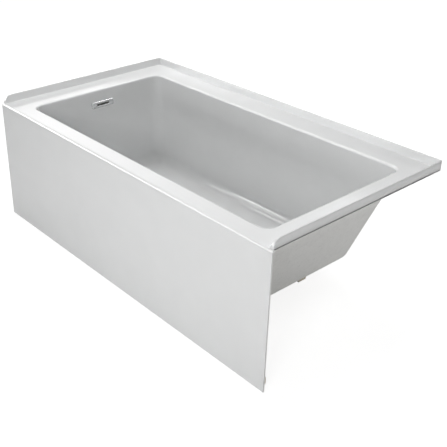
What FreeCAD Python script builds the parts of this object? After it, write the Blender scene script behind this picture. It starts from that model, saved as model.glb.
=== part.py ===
"""Alcove bathtub: a skirted acrylic tub with its cradle, drain and overflow.

Millimetres, +Z up. The origin is on the floor, midway along the length (X) and the width (Y).
The drain end is at -X and the tiled back wall is at +Y.
"""
import FreeCAD
import Part
import math
import os

# ---------------------------------------------------------------- tub: outside
tub_length = 1524.0             # over the two ends of the skirt
tub_width = 812.8               # skirt's foot to back tile flange
deck_height = 492.0             # floor to deck
acrylic_thickness = 3.2
laminate_thickness = 2.4
skirt_flare = 12.0              # how far the skirt's foot stands in front of the deck's edge
front_strip_depth = 15.0        # strip of deck behind the skirt that is as wide as the skirt
skirt_edge_radius = 8.0         # between the deck and the skirt
flange_inset = 4.0              # tile flange's outer face, in from the skirt's end
deck_corner_radius = 10.0       # the two back corners, seen from above

# ---------------------------------------------------------------- tub: tile flange
flange_height = 29.0
flange_top_thickness = 7.0
flange_foot_at_ends = 14.0
flange_foot_at_back = 9.0
flange_inner_corner = 16.0

# ---------------------------------------------------------------- tub: basin
front_deck = 73.0               # deck's front edge to the basin
back_deck = 106.0
drain_end_deck = 120.0
backrest_end_deck = 89.0
rim_radius = 8.0                # rounded edge between the deck and the basin
collar_depth = 10.0             # upright part of the walls under the deck
basin_radius = 45.0             # all inner corners, and where the walls meet the floor
basin_depth = 395.0             # deck to floor at the drain end
floor_fall = 8.0                # floor's drop towards the drain end
front_wall_draft = 24.0         # how far each wall comes in on its way down
back_wall_draft = 24.0
drain_wall_draft = 9.0
backrest_run = 132.0

# ---------------------------------------------------------------- drain
drain_from_end = 250.0          # drain's axis from the skirt's end
drain_dish_radius = 42.0        # flat seat round the drain
drain_dish_depth = 3.6
drain_dish_slope = 8.0          # width of the dish's sloping side
drain_hole_radius = 24.5
strainer_flange_radius = 36.5
strainer_flange_thickness = 2.6
strainer_flange_edge = 1.4      # upright part of its edge, below the bevel
strainer_barrel_radius = 23.0
strainer_barrel_length = 30.0
strainer_bore_radius = 19.5
strainer_arm_width = 3.2
strainer_arm_height = 5.0
strainer_arm_count = 4
hub_radius = 6.5
hub_height = 10.0
elbow_gasket_thickness = 3.0
elbow_flange_radius = 35.0
elbow_flange_thickness = 5.0
elbow_radius = 28.0
elbow_collar_reach = 46.0       # drain's axis to the end of the tube's collar
thread_gap = 0.1                # between a barrel or socket and what is screwed on

# ---------------------------------------------------------------- stopper
stopper_travel = 9.5
stopper_seat_gap = 0.2          # left between the seal and the strainer when shut
stopper_cap_radius = 32.0
stopper_cap_edge = 2.8
stopper_cap_bevel = 1.8
stopper_seal_outer = 29.5
stopper_seal_inner = 21.5
stopper_seal_thickness = 2.4
stopper_sleeve_radius = 9.0
stopper_sleeve_length = 19.0
cartridge_radius = 6.0
cartridge_length = 24.0         # above the hub
sliding_gap = 0.06              # running fit of the sleeve on the cartridge

# ---------------------------------------------------------------- waste pipes
tube_radius = 19.05             # nominal 1-1/2 in tube
tube_wall = 1.6
tube_fit_gap = 0.05
socket_wall = 4.0
socket_depth = 15.0
waste_line_drop = 28.5          # top of the drain elbow down to the waste line's axis
tee_arm = 37.0                  # tee's centre to its upper and side mouths
tee_outlet_arm = 36.0           # and to its outlet
tailpiece_length = 19.8         # below the tee
tailpiece_collar = 12.0         # threaded length inside the tee's outlet
tailpiece_thread = 2.0          # how far its thread stands out from the tube
overflow_pipe_setback = 30.0    # overflow gasket's back to the pipe's axis
nut_wall = 4.0                  # at the middle of each flat
nut_sides = 8
nut_lip = 4.0
nut_grip = 9.0                  # length screwed on to the socket
washer_height = 4.0

# ---------------------------------------------------------------- overflow
overflow_depth = 62.0           # deck down to the cover's centre
cover_width = 107.0
cover_height = 27.0
cover_thickness = 6.5
cover_wall = 1.5
cover_bevel = 1.4
cover_corner_radius = 3.0
slot_width = 58.0
slot_height = 8.0
slot_corner_radius = 2.0
wall_slot_width = 74.0
wall_slot_height = 14.0
wall_slot_corner_radius = 3.0
retainer_thickness = 2.5
retainer_gap = 0.3              # round the retainer, inside the cover
overflow_screw_spacing = 90.0
overflow_gasket_thickness = 3.0
overflow_flange_width = 112.0
overflow_flange_height = 42.0
overflow_flange_thickness = 4.0
overflow_flange_radius = 8.0
chamber_wall = 3.0
chamber_height = 26.0
chamber_corner_radius = 14.0
boss_radius = 5.5
overflow_collar_drop = 40.0     # cover's centre down to the end of the tube's collar

# ---------------------------------------------------------------- cradle and stiffeners
base_board_thickness = 12.0
base_board_margin = 30.0        # board's edge in from where the floor curves up
drain_notch_radius = 64.0
runner_thickness = 38.0
runner_margin = 48.0            # runner's outer face in from the board's edge
runner_setback = 40.0           # runner's end in from the board's end
batten_thickness = 19.0
front_batten_width = 44.0
back_batten_width = 70.0
end_batten_width = 48.0
batten_margin = 6.0             # clear of the skin's bends
batten_end_setback = 26.0       # long battens' ends in from the tub's ends
foot_rail_height = 25.0
foot_rail_depth = 30.0
foot_rail_setback = 24.0        # rail's end in from the skirt's end
skirt_stud_width = 60.0
skirt_stud_thickness = 19.0
skirt_stud_count = 4
skirt_stud_margin = 150.0       # outer studs from the skirt's ends
brace_width = 30.0
brace_thickness = 3.0
brace_tab = 25.0                # height of the end that turns down along the runner
brace_spacing = 640.0
brace_hole_setback = 12.0       # screw's axis in from the brace's end

# ---------------------------------------------------------------- screws
screw_gap = 0.15                # round each shank
lag_screw_radius = 2.5
lag_screw_length = 22.0
lag_screw_head_height = 3.0
lag_screw_head_width = 10.0     # across the flats
overflow_screw_radius = 2.5
overflow_screw_head_radius = 4.4
overflow_screw_head_height = 2.2
overflow_screw_bite = 14.0      # into the overflow body

# ---------------------------------------------------------------- worked out
half_length = tub_length / 2
half_width = tub_width / 2
skin_thickness = acrylic_thickness + laminate_thickness
deck_front = -half_width + skirt_flare
front_strip_back = deck_front + front_strip_depth
flange_face = half_length - flange_inset
basin_left = -flange_face + drain_end_deck
basin_right = flange_face - backrest_end_deck
basin_front = deck_front + front_deck
basin_back = half_width - back_deck
floor_height = deck_height - basin_depth
wall_height = basin_depth - collar_depth - basin_radius
floor_left = basin_left + drain_wall_draft + basin_radius
floor_right = basin_right - backrest_run - basin_radius
floor_front = basin_front + front_wall_draft + basin_radius
floor_back = basin_back - back_wall_draft - basin_radius
floor_angle = math.atan2(floor_fall, floor_right - floor_left)
drain_x = -half_length + drain_from_end
drain_wall_angle = math.atan2(drain_wall_draft, wall_height)
socket_radius = tube_radius + tube_fit_gap + socket_wall
past = 20.0                     # how far a cutting body reaches past what it cuts

UP = FreeCAD.Vector(0, 0, 1)
ALONG = FreeCAD.Vector(1, 0, 0)
ACROSS = FreeCAD.Vector(0, 1, 0)


def vec(x, y, z):
    return FreeCAD.Vector(x, y, z)


def floor_z(x):
    """Height of the basin's floor at x; it turns about the centre of the foot's rounding."""
    lag = basin_radius * (1 / math.cos(floor_angle) - 1)
    return floor_height - lag + (x - floor_left) * math.tan(floor_angle)


def skirt_y(z):
    """Front face of the skirt at height z."""
    return -half_width + skirt_flare * z / deck_height


def box(x0, x1, y0, y1, z0, z1):
    return Part.makeBox(x1 - x0, y1 - y0, z1 - z0, vec(x0, y0, z0))


def rod(radius, start, direction, length):
    return Part.makeCylinder(radius, length, start, direction)


def ring(outer, inner, start, direction, length):
    return rod(outer, start, direction, length).cut(rod(inner, start, direction, length))


def polygon_face(points):
    return Part.Face(Part.makePolygon(points + [points[0]]))


def rounded_outline(x0, x1, y0, y1, z, radii):
    """Closed outline in a level plane; radii are for the corners (-,-), (+,-), (+,+), (-,+)."""
    corners = [(x0, y0, 1, 1), (x1, y0, -1, 1), (x1, y1, -1, -1), (x0, y1, 1, -1)]
    arcs = []
    for index, (x, y, sx, sy) in enumerate(corners):
        radius = radii[index]
        along_x = vec(x + sx * radius, y, z)
        along_y = vec(x, y + sy * radius, z)
        start, end = (along_y, along_x) if index % 2 == 0 else (along_x, along_y)
        bulge = radius * (1 - math.sqrt(0.5))
        middle = vec(x + sx * bulge, y + sy * bulge, z)
        arcs.append((start, middle, end, radius))
    edges = []
    for index, (start, middle, end, radius) in enumerate(arcs):
        if radius > 0:
            edges.append(Part.Arc(start, middle, end).toShape())
        edges.append(Part.LineSegment(end, arcs[(index + 1) % 4][0]).toShape())
    return Part.Wire(edges)


# ---------------------------------------------------------------- skin of the tub
def level_ring(x0, x1, y0, y1, z):
    return [vec(x0, y0, z), vec(x1, y0, z), vec(x1, y1, z), vec(x0, y1, z)]


def stacked_solid(rings):
    """Solid with flat sides between level four-cornered rings."""
    faces = [polygon_face(rings[0]), polygon_face(rings[-1])]
    for upper, lower in zip(rings, rings[1:]):
        for index in range(4):
            after = (index + 1) % 4
            faces.append(polygon_face([upper[index], upper[after], lower[after], lower[index]]))
    solid = Part.Solid(Part.Shell(faces))
    if solid.Volume < 0:
        solid.reverse()
    return solid


def basin_core():
    """Flat-sided form that becomes the basin when every face moves out by the basin's radius."""
    inset = basin_radius
    x0, x1 = basin_left + inset, basin_right - inset
    y0, y1 = basin_front + inset, basin_back - inset
    collar = deck_height - collar_depth
    reach = (wall_height + past) / wall_height
    rings = [level_ring(x0, x1, y0, y1, deck_height + past),
             level_ring(x0, x1, y0, y1, collar),
             level_ring(x0 + drain_wall_draft * reach, x1 - backrest_run * reach,
                        y0 + front_wall_draft * reach, y1 - back_wall_draft * reach,
                        collar - wall_height * reach)]
    under_floor = box(-tub_length, tub_length, -tub_width, tub_width, -tub_width, 0)
    under_floor.rotate(vec(0, 0, 0), ACROSS, -math.degrees(floor_angle))
    under_floor.translate(vec(floor_left, 0, floor_height + inset))
    return stacked_solid(rings).cut(under_floor).removeSplitter()


def strainer_seat():
    return floor_z(drain_x) - drain_dish_depth


def drain_dish(offset):
    """Shallow dish in the floor that takes the strainer."""
    rise = drain_dish_depth * 2
    widening = drain_dish_slope * rise / drain_dish_depth
    foot = drain_dish_radius + offset
    return Part.makeCone(foot, foot + widening, rise, vec(drain_x, 0, strainer_seat() - offset), UP)


def basin_cavity(offset):
    """Space inside the basin, grown by offset: flat walls, round corners, falling floor."""
    body = basin_core().makeOffsetShape(basin_radius + offset, 0.001, False, False, 0, 0)
    return body.fuse(drain_dish(offset))


def skirt_zone(offset, foot, half):
    """Front strip of the tub's outer form, behind the flared skirt face, half long each way."""
    outwards = offset * math.hypot(deck_height, skirt_flare) / deck_height
    top = deck_height - offset
    profile = polygon_face([vec(-half, skirt_y(foot) + outwards, foot),
                            vec(-half, skirt_y(top) + outwards, top),
                            vec(-half, front_strip_back, top),
                            vec(-half, front_strip_back, foot)])
    return profile.extrude(vec(2 * half, 0, 0))


def deck_zone(foot, top):
    """Rest of the tub's outer form, with the back corners rounded."""
    radii = [0, 0, deck_corner_radius, deck_corner_radius]
    outline = rounded_outline(-flange_face, flange_face, front_strip_back, half_width, foot, radii)
    return Part.Face(outline).extrude(vec(0, 0, top - foot))


def rounded_edges(body):
    """Body with the deck's front edge and the basin's rim rounded."""
    front, rim = [], []
    for edge in body.Edges:
        bounds = edge.BoundBox
        level = abs(bounds.ZMin - deck_height) < 0.01 and abs(bounds.ZMax - deck_height) < 0.01
        if level and bounds.YMax < deck_front + skirt_edge_radius:
            front.append(edge)
        elif level and bounds.YMin > front_strip_back and bounds.YMax < basin_back + rim_radius:
            rim.append(edge)
    return body.makeFillet(skirt_edge_radius, front).makeFillet(rim_radius, rim)


def form_under_skin(offset):
    """All that lies more than offset behind the tub's visible surface.

    Edges are rounded on the visible side only: the sheet thins where it is drawn over them.
    The form runs on past the tub's ends, back and foot, where the skin is cut off square.
    """
    if offset == 0:
        body = skirt_zone(offset, 0, half_length).fuse(deck_zone(0, deck_height))
    else:
        reach = half_length + past
        rest = box(-reach, reach, front_strip_back, half_width + past, -past, deck_height - offset)
        body = skirt_zone(offset, -past, reach).fuse(rest)
    body = body.cut(basin_cavity(offset)).removeSplitter()
    if offset == 0:
        return rounded_edges(body)
    return body


def tile_flange():
    """Upstand along both ends and the back, with quarter-round front ends."""
    top = deck_height + flange_height
    start = deck_front + skirt_edge_radius
    radii = [0, 0, deck_corner_radius, deck_corner_radius]
    outline = rounded_outline(-flange_face, flange_face, start, half_width, deck_height, radii)
    upstand = Part.Face(outline).extrude(vec(0, 0, flange_height))
    foot_x = flange_face - flange_foot_at_ends
    foot_y = half_width - flange_foot_at_back
    lip_x = flange_face - flange_top_thickness
    lip_y = half_width - flange_top_thickness
    inner = stacked_solid([level_ring(-lip_x, lip_x, start - past, lip_y, top),
                           level_ring(-foot_x, foot_x, start - past, foot_y, deck_height)])
    corners = [edge for edge in inner.Edges
               if edge.BoundBox.ZLength > 1 and edge.BoundBox.YMin > 0]
    upstand = upstand.cut(inner.makeFillet(flange_inner_corner, corners))
    front = box(-half_length, half_length, start - past, start + flange_height, deck_height,
                top + past)
    round_end = rod(flange_height, vec(-half_length, start + flange_height, deck_height), ALONG,
                    tub_length)
    return upstand.cut(front.cut(round_end))


def wall_frame():
    """Placement whose +X leaves the drain-end wall, at the overflow's centre on its face."""
    below_collar = overflow_depth - collar_depth
    lag = basin_radius * (1 / math.cos(drain_wall_angle) - 1)
    centre_x = basin_left - lag + below_collar * math.tan(drain_wall_angle)
    turn = FreeCAD.Rotation(ACROSS, -math.degrees(drain_wall_angle))
    return FreeCAD.Placement(vec(centre_x, 0, deck_height - overflow_depth), turn)


def on_wall(shape):
    placed = shape.copy()
    placed.Placement = wall_frame().multiply(placed.Placement)
    return placed


def side_bar(x0, x1, width, height, radius):
    """Bar along X with a rounded-rectangle section, centred on the X axis."""
    outline = rounded_outline(-height / 2, height / 2, -width / 2, width / 2, 0, [radius] * 4)
    bar = Part.Face(outline).extrude(vec(0, 0, x1 - x0))
    bar.rotate(vec(0, 0, 0), ACROSS, 90)
    bar.translate(vec(x0, 0, 0))
    return bar


def skin_openings():
    """Drain hole, overflow slot and overflow screw holes through the skin."""
    hole = rod(drain_hole_radius, vec(drain_x, 0, strainer_seat() - past), UP, 2 * past)
    slot = wall_slot(-past, past)
    screws = [rod(overflow_screw_radius + screw_gap, vec(-past, y, 0), ALONG, 2 * past)
              for y in overflow_screw_places()]
    return [hole] + [on_wall(cut) for cut in [slot] + screws]


def overflow_screw_places():
    return (-overflow_screw_spacing / 2, overflow_screw_spacing / 2)


def tub_shell():
    skin = form_under_skin(0).cut(form_under_skin(acrylic_thickness))
    return skin.fuse(tile_flange()).removeSplitter().cut(skin_openings())


def fibreglass_backing():
    outer = form_under_skin(acrylic_thickness)
    trim = deck_zone(0, deck_height).fuse(skirt_zone(0, 0, half_length))
    return outer.common(trim).cut(form_under_skin(skin_thickness)).cut(skin_openings())


# ---------------------------------------------------------------- cradle under the floor
def under_floor_z(x, depth):
    """Height, at x, of the plane that lies depth under the basin's floor."""
    return floor_z(x) - depth / math.cos(floor_angle)


def board_ends():
    return floor_left + base_board_margin, floor_right - base_board_margin


def runner_ends():
    left, right = board_ends()
    return left + runner_setback, right - runner_setback


def board_sides():
    return floor_front + base_board_margin, floor_back - base_board_margin


def runner_middles():
    inset = runner_margin + runner_thickness / 2
    front, back = board_sides()
    return front + inset, back - inset


def board_top(x):
    return under_floor_z(x, skin_thickness + base_board_thickness)


def base_board():
    """Board bonded under the floor, notched round the drain."""
    left, right = board_ends()
    top = floor_height - skin_thickness
    front, back = board_sides()
    board = box(left, right, front, back, top - base_board_thickness, top)
    pivot = vec(floor_left, 0, floor_height + basin_radius)
    board.rotate(pivot, ACROSS, -math.degrees(floor_angle))
    notch = rod(drain_notch_radius, vec(drain_x, 0, 0), UP, deck_height)
    way_out = box(left - past, drain_x, -drain_notch_radius, drain_notch_radius, 0, deck_height)
    return board.cut([notch, way_out])


def runner(middle):
    """Timber on edge under the base board."""
    left, right = runner_ends()
    y = middle - runner_thickness / 2
    side = polygon_face([vec(left, y, 0), vec(right, y, 0),
                         vec(right, y, board_top(right)), vec(left, y, board_top(left))])
    return side.extrude(vec(0, runner_thickness, 0))


def front_runner():
    holes = [rod(lag_screw_radius + screw_gap, start, ACROSS, lag_screw_length)
             for start in brace_tab_places()]
    return runner(runner_middles()[0]).cut(holes)


def back_runner():
    return runner(runner_middles()[1])


# ---------------------------------------------------------------- stiffeners under the deck
def skirt_inner_y(z):
    return skirt_y(z) + skin_thickness * math.hypot(deck_height, skirt_flare) / deck_height


def batten(x0, x1, y0, y1):
    under_deck = deck_height - skin_thickness
    return box(x0, x1, y0, y1, under_deck - batten_thickness, under_deck)


def front_batten_back():
    return deck_front + skin_thickness + batten_margin + front_batten_width


def front_rim_batten():
    reach = half_length - batten_end_setback
    back = front_batten_back()
    return batten(-reach, reach, back - front_batten_width, back)


def back_batten_front():
    return basin_back + skin_thickness + batten_margin


def back_rim_batten():
    reach = half_length - batten_end_setback
    return batten(-reach, reach, back_batten_front(), back_batten_front() + back_batten_width)


def end_batten(x0):
    front = front_batten_back() + batten_margin
    return batten(x0, x0 + end_batten_width, front, back_batten_front() - batten_margin)


def drain_end_batten():
    return end_batten(-half_length + batten_end_setback)


def backrest_end_batten():
    return end_batten(basin_right + skin_thickness + batten_margin)


# ---------------------------------------------------------------- stiffeners behind the skirt
def behind_skirt(x0, x1, z0, z1, depth):
    """Timber against the sloping back of the skirt; depth is its thickness at its foot."""
    back = skirt_inner_y(z0) + depth
    profile = polygon_face([vec(x0, skirt_inner_y(z0), z0), vec(x0, back, z0),
                            vec(x0, back, z1), vec(x0, skirt_inner_y(z1), z1)])
    return profile.extrude(vec(x1 - x0, 0, 0))


def skirt_foot_rail():
    reach = half_length - foot_rail_setback
    rail = behind_skirt(-reach, reach, 0, foot_rail_height, foot_rail_depth)
    holes = [rod(lag_screw_radius + screw_gap, start, -UP, lag_screw_length)
             for start in brace_rail_places()]
    return rail.cut(holes)


def skirt_studs():
    first = -half_length + skirt_stud_margin
    step = (tub_length - 2 * skirt_stud_margin) / (skirt_stud_count - 1)
    top = deck_height - skin_thickness - batten_thickness
    studs = []
    for index in range(skirt_stud_count):
        x0 = first + index * step - skirt_stud_width / 2
        studs.append(behind_skirt(x0, x0 + skirt_stud_width, foot_rail_height, top,
                                  skirt_stud_thickness))
    return Part.Compound(studs)


def brace_middles():
    return -brace_spacing / 2, brace_spacing / 2


def brace_ends():
    """Front end on the foot rail, and the face of the front runner."""
    front = skirt_inner_y(0) + foot_rail_depth - 2 * brace_hole_setback
    return front, runner_middles()[0] - runner_thickness / 2


def brace_rail_places():
    front = brace_ends()[0]
    return [vec(x, front + brace_hole_setback, foot_rail_height) for x in brace_middles()]


def brace_tab_places():
    face = brace_ends()[1]
    height = foot_rail_height + brace_thickness - brace_tab + brace_hole_setback
    return [vec(x, face, height) for x in brace_middles()]


def skirt_braces():
    """Two bent steel straps that tie the skirt's foot to the front runner."""
    front, face = brace_ends()
    braces = []
    for x in brace_middles():
        x0, x1 = x - brace_width / 2, x + brace_width / 2
        foot = foot_rail_height
        strap = box(x0, x1, front, face, foot, foot + brace_thickness)
        top = foot + brace_thickness
        tab = box(x0, x1, face - brace_thickness, face, top - brace_tab, top)
        braces.append(strap.fuse(tab).removeSplitter())
    hole = lag_screw_radius + screw_gap
    holes = [rod(hole, start, UP, past) for start in brace_rail_places()]
    holes += [rod(hole, start, -ACROSS, past) for start in brace_tab_places()]
    return Part.Compound([brace.cut(holes) for brace in braces])


def lag_screw(start, direction):
    """Hex-headed screw whose head's underside is at start."""
    corner = lag_screw_head_width / 2 / math.cos(math.pi / 6)
    points = [vec(corner * math.cos(math.radians(60 * turn)),
                  corner * math.sin(math.radians(60 * turn)), 0) for turn in range(6)]
    head = polygon_face(points).extrude(UP * -lag_screw_head_height)
    screw = head.fuse(rod(lag_screw_radius, vec(0, 0, 0), UP, lag_screw_length - brace_thickness))
    return turned_to(screw, start, direction)


def brace_screws():
    rail = [lag_screw(start + UP * brace_thickness, -UP) for start in brace_rail_places()]
    tabs = [lag_screw(start - ACROSS * brace_thickness, ACROSS) for start in brace_tab_places()]
    return Part.Compound(rail + tabs)


# ---------------------------------------------------------------- drain
def elbow_top():
    return strainer_seat() - skin_thickness - elbow_gasket_thickness


def waste_line_z():
    return elbow_top() - waste_line_drop


def turned_profile(points, x):
    """Solid of revolution about the upright axis at x; points are (radius, height)."""
    profile = polygon_face([vec(radius, 0, height) for radius, height in points])
    solid = profile.revolve(vec(0, 0, 0), UP, 360)
    solid.translate(vec(x, 0, 0))
    return solid


def drain_strainer():
    """Flanged barrel with a cross at its foot whose hub carries the stopper's cartridge."""
    seat = strainer_seat()
    foot = seat - strainer_barrel_length
    top = seat + strainer_flange_thickness
    bevel = strainer_flange_thickness - strainer_flange_edge
    body = turned_profile([(strainer_bore_radius, foot), (strainer_barrel_radius, foot),
                           (strainer_barrel_radius, seat), (strainer_flange_radius, seat),
                           (strainer_flange_radius, seat + strainer_flange_edge),
                           (strainer_flange_radius - bevel, top),
                           (strainer_bore_radius, top)], drain_x)
    axis = vec(drain_x, 0, foot)
    reach = (strainer_bore_radius + strainer_barrel_radius) / 2
    arms = []
    for index in range(strainer_arm_count):
        arm = box(0, reach, -strainer_arm_width / 2, strainer_arm_width / 2, 0, strainer_arm_height)
        arm.rotate(vec(0, 0, 0), UP, 45 + index * 360 / strainer_arm_count)
        arm.translate(axis)
        arms.append(arm)
    return body.fuse(arms + [rod(hub_radius, axis, UP, hub_height)]).removeSplitter()


def drain_gasket():
    start = vec(drain_x, 0, elbow_top())
    return ring(elbow_flange_radius, drain_hole_radius, start, UP, elbow_gasket_thickness)


def drain_elbow():
    """Elbow under the drain with its tube: flange, threaded barrel, collar and tube."""
    line = vec(drain_x, 0, waste_line_z())
    foot = line.z - tube_radius - socket_wall
    top = elbow_top()
    under_flange = top - elbow_flange_thickness
    body = turned_profile([(0, foot), (elbow_radius, foot), (elbow_radius, under_flange),
                           (elbow_flange_radius, under_flange), (elbow_flange_radius, top),
                           (0, top)], drain_x)
    collar = rod(socket_radius, line, -ALONG, elbow_collar_reach)
    tube_end = socket_bottom("side")
    pipe = rod(tube_radius, tube_end, ALONG, line.x - tube_end.x)
    inside = tube_radius - tube_wall
    barrel = rod(strainer_barrel_radius + thread_gap, line - UP * inside, UP, past * 3)
    bore = rod(inside, tube_end, ALONG, line.x - tube_end.x)
    return body.fuse([collar, pipe]).removeSplitter().cut([barrel, bore])


# ---------------------------------------------------------------- stopper
def stopper_underside():
    """Height of the cap's underside with the stopper up."""
    shut = strainer_seat() + strainer_flange_thickness + stopper_seat_gap
    return shut + stopper_travel + stopper_seal_thickness


def hub_top():
    return strainer_seat() - strainer_barrel_length + hub_height


def stopper_cap():
    """Shallow cap with a sleeve that slides on the cartridge."""
    foot = stopper_underside()
    edge = foot + stopper_cap_edge
    sleeve_foot = foot - stopper_sleeve_length
    bore = cartridge_radius + sliding_gap
    return turned_profile([(0, foot), (bore, foot), (bore, sleeve_foot),
                           (stopper_sleeve_radius, sleeve_foot), (stopper_sleeve_radius, foot),
                           (stopper_cap_radius, foot), (stopper_cap_radius, edge),
                           (stopper_cap_radius - stopper_cap_bevel, edge + stopper_cap_bevel),
                           (0, edge + stopper_cap_bevel)], drain_x)


def stopper_seal():
    start = vec(drain_x, 0, stopper_underside() - stopper_seal_thickness)
    return ring(stopper_seal_outer, stopper_seal_inner, start, UP, stopper_seal_thickness)


def stopper_cartridge():
    """Sealed push latch that stands on the strainer's hub; the spring is inside it."""
    return rod(cartridge_radius, vec(drain_x, 0, hub_top()), UP, cartridge_length)


# ---------------------------------------------------------------- waste pipes
def overflow_back():
    """Back of the overflow gasket, behind the wall's face."""
    return -(skin_thickness + overflow_gasket_thickness)


def overflow_axis():
    """Point on the overflow pipe's axis at the height of the cover's centre."""
    point = wall_frame().multVec(vec(overflow_back() - overflow_pipe_setback, 0, 0))
    return vec(point.x, 0, deck_height - overflow_depth)


def tee_centre():
    return vec(overflow_axis().x, 0, waste_line_z())


def socket_mouths():
    """Each socket of the tee: its mouth, and the way out of it."""
    tee = tee_centre()
    return {"riser": (tee + UP * tee_arm, UP),
            "side": (tee + ALONG * tee_arm, ALONG),
            "outlet": (tee - UP * tee_outlet_arm, -UP)}


def slip_joints():
    return [socket_mouths()["riser"], socket_mouths()["side"]]


def socket_bottom(name):
    mouth, out = socket_mouths()[name]
    return mouth - out * socket_depth


def tailpiece():
    """Tube threaded into the tee's outlet."""
    mouth = socket_mouths()["outlet"][0]
    collar = rod(tube_radius + tailpiece_thread, mouth, UP, tailpiece_collar)
    tube = rod(tube_radius, mouth, -UP, tailpiece_length)
    bore = rod(tube_radius - tube_wall, mouth - UP * tailpiece_length, UP,
               tailpiece_length + tailpiece_collar)
    return collar.fuse(tube).cut(bore)


def waste_tee():
    """Tee whose two slip joints take straight tubes and whose outlet is threaded."""
    tee = tee_centre()
    height = tee_outlet_arm + tee_arm
    foot = tee - UP * tee_outlet_arm
    body = rod(socket_radius, foot, UP, height).fuse(rod(socket_radius, tee, ALONG, tee_arm))
    bore = tube_radius + tube_fit_gap
    thread = rod(tube_radius + tailpiece_thread + thread_gap, foot, UP, tailpiece_collar)
    return body.removeSplitter().cut([rod(bore, foot, UP, height), rod(bore, tee, ALONG, tee_arm),
                                      thread])


def turned_to(shape, start, direction):
    """Shape made along +Z at the origin, moved to start and turned to direction."""
    placed = shape.copy()
    placed.Placement = FreeCAD.Placement(start, FreeCAD.Rotation(UP, direction))
    return placed


def slip_nuts():
    """Eight-sided nuts that clamp the washers on to the tubes."""
    height = nut_grip + washer_height + nut_lip
    thread = socket_radius + thread_gap
    corner = (thread + nut_wall) / math.cos(math.pi / nut_sides)
    points = []
    for index in range(nut_sides):
        turn = 2 * math.pi * (index + 0.5) / nut_sides
        points.append(vec(corner * math.cos(turn), corner * math.sin(turn), -nut_grip))
    nut = polygon_face(points).extrude(UP * height)
    nut = nut.cut([rod(thread, -UP * nut_grip, UP, nut_grip + washer_height),
                   rod(tube_radius + thread_gap, vec(0, 0, 0), UP, height)])
    return Part.Compound([turned_to(nut, mouth, out) for mouth, out in slip_joints()])


def slip_washers():
    washer = ring(socket_radius, tube_radius + tube_fit_gap, vec(0, 0, 0), UP, washer_height)
    return Part.Compound([turned_to(washer, mouth, out) for mouth, out in slip_joints()])


# ---------------------------------------------------------------- overflow
def wall_slot(x0, x1):
    return side_bar(x0, x1, wall_slot_width, wall_slot_height, wall_slot_corner_radius)


def overflow_screw_holes(x0, x1):
    return [rod(overflow_screw_radius + screw_gap, vec(x0, y, 0), ALONG, x1 - x0)
            for y in overflow_screw_places()]


def overflow_cover():
    """Bevelled cover that snaps over the retainer."""
    front = cover_thickness
    cover = side_bar(0, front, cover_width, cover_height, cover_corner_radius)
    face_edges = [edge for edge in cover.Edges if edge.BoundBox.XMin > front - 0.01]
    cover = cover.makeChamfer(cover_bevel, face_edges)
    pocket = side_bar(0, front - cover_wall, cover_width - 2 * cover_wall,
                      cover_height - 2 * cover_wall, cover_corner_radius - cover_wall)
    slot = side_bar(0, front, slot_width, slot_height, slot_corner_radius)
    return on_wall(cover.cut([pocket, slot]))


def overflow_retainer():
    inset = 2 * (cover_wall + retainer_gap)
    plate = side_bar(0, retainer_thickness, cover_width - inset, cover_height - inset,
                     cover_corner_radius - cover_wall)
    cuts = [wall_slot(0, retainer_thickness)] + overflow_screw_holes(0, retainer_thickness)
    return on_wall(plate.cut(cuts))


def overflow_screws():
    end = overflow_back() - overflow_screw_bite
    screws = []
    for y in overflow_screw_places():
        shank = rod(overflow_screw_radius, vec(end, y, 0), ALONG, retainer_thickness - end)
        head = rod(overflow_screw_head_radius, vec(retainer_thickness, y, 0), ALONG,
                   overflow_screw_head_height)
        screws.append(on_wall(shank.fuse(head)))
    return Part.Compound(screws)


def overflow_gasket():
    back = overflow_back()
    plate = side_bar(back, -skin_thickness, overflow_flange_width, overflow_flange_height,
                     overflow_flange_radius)
    cuts = [wall_slot(back, 0)] + overflow_screw_holes(back, 0)
    return on_wall(plate.cut(cuts))


def chamber_block(inset, x1, corner):
    """Overflow chamber, or the hollow inside it, drawn in from the outside by inset."""
    x0 = overflow_back() - overflow_pipe_setback - socket_radius + inset
    half = wall_slot_width / 2 + chamber_wall - inset
    height = chamber_height - 2 * inset
    outline = rounded_outline(x0, x1, -half, half, -height / 2, [corner, 0, 0, corner])
    return Part.Face(outline).extrude(UP * height)


def overflow_elbow():
    """Flange and flat chamber behind the wall, with the pipe that drops to the tee."""
    back = overflow_back()
    flange_back = back - overflow_flange_thickness
    flange = side_bar(flange_back, back, overflow_flange_width, overflow_flange_height,
                      overflow_flange_radius)
    bosses = [rod(boss_radius, vec(back - overflow_screw_bite - chamber_wall, y, 0), ALONG,
                  overflow_screw_bite + chamber_wall) for y in overflow_screw_places()]
    chamber = chamber_block(0, flange_back, chamber_corner_radius)
    outside = [on_wall(piece) for piece in [flange, chamber] + bosses]
    axis = overflow_axis()
    foot = socket_bottom("riser")
    pipe = rod(tube_radius, foot, UP, axis.z - foot.z)
    collar = rod(socket_radius, axis, -UP, overflow_collar_drop)
    body = pipe.fuse(outside + [collar]).removeSplitter()
    inside = [wall_slot(flange_back - chamber_wall, back),
              chamber_block(chamber_wall, flange_back, 0)]
    cuts = inside + overflow_screw_holes(back - overflow_screw_bite, back)
    bore = rod(tube_radius - tube_wall, foot, UP, axis.z - foot.z)
    return body.cut([on_wall(piece) for piece in cuts] + [bore])


# ---------------------------------------------------------------- build
PIECES = (
    tub_shell, fibreglass_backing,
    base_board, front_runner, back_runner,
    front_rim_batten, back_rim_batten, drain_end_batten, backrest_end_batten,
    skirt_foot_rail, skirt_studs, skirt_braces, brace_screws,
    drain_strainer, drain_gasket, drain_elbow,
    stopper_cap, stopper_seal, stopper_cartridge,
    waste_tee, tailpiece, slip_nuts, slip_washers,
    overflow_cover, overflow_retainer, overflow_screws, overflow_gasket, overflow_elbow,
)


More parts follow.
